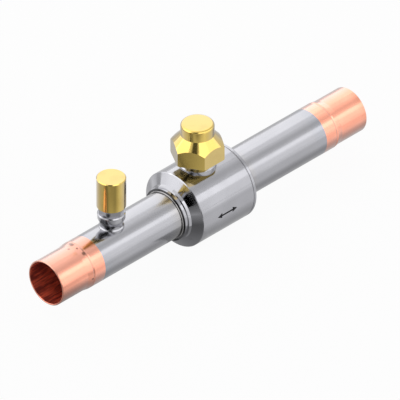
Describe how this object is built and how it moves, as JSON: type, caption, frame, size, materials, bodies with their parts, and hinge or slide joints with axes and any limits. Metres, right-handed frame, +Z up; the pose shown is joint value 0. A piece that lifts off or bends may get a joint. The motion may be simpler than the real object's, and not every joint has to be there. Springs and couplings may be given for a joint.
{
  "type": "refrigerant service valve",
  "caption": "Full-bore quarter-turn ball valve in a straight steel line with copper solder sockets, a brass hexagonal seal cap over the stem and a capped access port.",
  "frame": {"origin": "centre of the ball, where the flow line crosses the stem's axis", "axes": "+X along the flow towards the outlet socket, +Z up the stem; the access port is on the -X side"},
  "size_m": [0.2104, 0.0402, 0.064],
  "materials": {
    "body_steel": "polished",
    "tube_steel": "polished",
    "copper": "satin",
    "ball_steel": "polished",
    "seat_polymer": "matte",
    "spring_steel": "satin",
    "seal_rubber": "matte",
    "cap_brass": "polished",
    "core_brass": "satin"
  },
  "bodies": {
    "valve": {"valve_body": "body_steel", "end_closure": "body_steel", "left_tube": "tube_steel", "right_tube": "tube_steel", "left_copper_end": "copper", "right_copper_end": "copper", "left_seat": "seat_polymer", "right_seat": "seat_polymer", "left_seat_spring": "spring_steel", "right_seat_spring": "spring_steel", "stem_neck": "tube_steel", "thrust_washer": "seat_polymer", "access_port": "tube_steel", "core_body": "core_brass", "core_gasket": "seat_polymer"},
    "ball_and_stem": {"ball": "ball_steel", "stem": "ball_steel", "stop_pin": "spring_steel", "stem_seal_lower": "seal_rubber", "stem_seal_upper": "seal_rubber"},
    "cap_gasket": {"seal_cap_gasket": "seat_polymer"},
    "cap": {"seal_cap": "cap_brass"},
    "port_cap_seal": {"access_cap_seal": "seal_rubber"},
    "port_cap": {"access_cap": "cap_brass"},
    "depressor": {"core_pin": "core_brass", "core_seal": "seal_rubber", "core_spring": "spring_steel"}
  },
  "joints": [
    {"name": "ball_turn", "type": "hinge", "parent": "valve", "child": "ball_and_stem", "pos_m": [0, 0, 0], "axis": [0, 0, 1], "range_deg": [-90, 0]},
    {"name": "seal_cap_rise", "type": "slide", "parent": "valve", "child": "cap_gasket", "axis": [0, 0, 1], "range_m": [0, 0.009]},
    {"name": "seal_cap_turn", "type": "hinge", "parent": "cap_gasket", "child": "cap", "pos_m": [0, 0, 0], "axis": [0, 0, 1], "range_deg": [0, 2160.1]},
    {"name": "access_cap_rise", "type": "slide", "parent": "valve", "child": "port_cap_seal", "axis": [0, 0, 1], "range_m": [0, 0.01016]},
    {"name": "access_cap_turn", "type": "hinge", "parent": "port_cap_seal", "child": "port_cap", "pos_m": [-0.05935, 0, 0], "axis": [0, 0, 1], "range_deg": [0, 2880.1]},
    {"name": "core_pin_push", "type": "slide", "parent": "valve", "child": "depressor", "axis": [0, 0, -1], "range_m": [0, 0.0015], "stiffness_N_per_m": 1200, "springref_m": -0.002, "deforming": ["core_spring"]}
  ],
  "couplings": [
    {"joint": "seal_cap_turn", "follows": "seal_cap_rise", "rad_per_m": 4188.8},
    {"joint": "access_cap_turn", "follows": "access_cap_rise", "rad_per_m": 4947.4}
  ]
}
